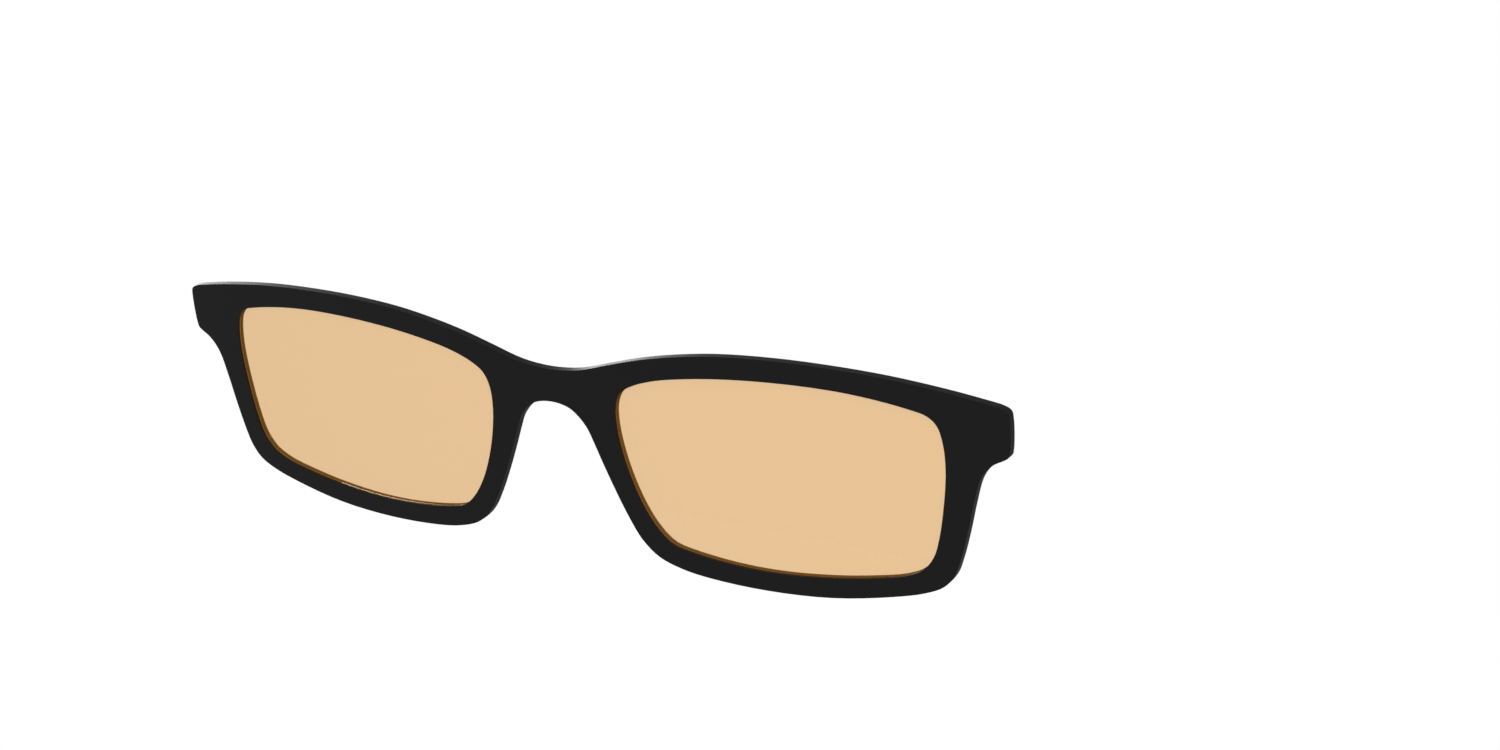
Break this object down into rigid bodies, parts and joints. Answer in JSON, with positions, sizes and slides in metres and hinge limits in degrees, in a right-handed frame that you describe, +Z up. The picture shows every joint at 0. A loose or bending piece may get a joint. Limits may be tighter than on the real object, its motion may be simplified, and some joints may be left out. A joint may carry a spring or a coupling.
{
  "type": "clip-on flip-up spectacle lenses",
  "caption": "Thin full-rim clip-on front with amber tinted lenses, flipped up on a friction hinge carried by a sprung saddle that hooks over a spectacle bridge.",
  "frame": {"origin": "middle of the saddle's seat face, where the front of a spectacle bridge rests", "axes": "+Z up as worn, the front faces -Y, +Y points to the wearer, +X along the front's width"},
  "size_m": [0.1402, 0.0131, 0.0348],
  "materials": {
    "front": "matte black moulded nylon",
    "lens": "clear amber tint, polished",
    "hinge": "satin black coated steel",
    "steel": "turned stainless steel",
    "washer": "natural nylon",
    "bracket": "fine matte black nylon",
    "pad": "soft grey silicone"
  },
  "bodies": {
    "saddle": {"bridge_bracket": "bracket", "seat_pad": "pad", "jaw_pin": "steel", "jaw_pin_cap": "steel", "jaw_spring": "steel"},
    "front": {"front_frame": "front", "lens_right": "lens", "lens_left": "lens", "hinge_leaf": "hinge", "hinge_screw": "steel", "hinge_nut": "steel", "friction_washers": "washer", "spring_washer": "steel"},
    "jaw": {"spring_jaw": "bracket", "jaw_pad": "pad"}
  },
  "joints": [
    {"name": "front_flip", "type": "hinge", "parent": "saddle", "child": "front", "pos_m": [0, -0.00665, 0.0051], "axis": [-1, 0, 0], "range_deg": [0, 90]},
    {"name": "jaw_open", "type": "hinge", "parent": "saddle", "child": "jaw", "pos_m": [0, 0.0029, 0.0016], "axis": [1, 0, 0], "range_deg": [0, 45], "stiffness_Nm_per_rad": 0.002, "springref_deg": -34.38, "deforming": ["jaw_spring"]}
  ]
}
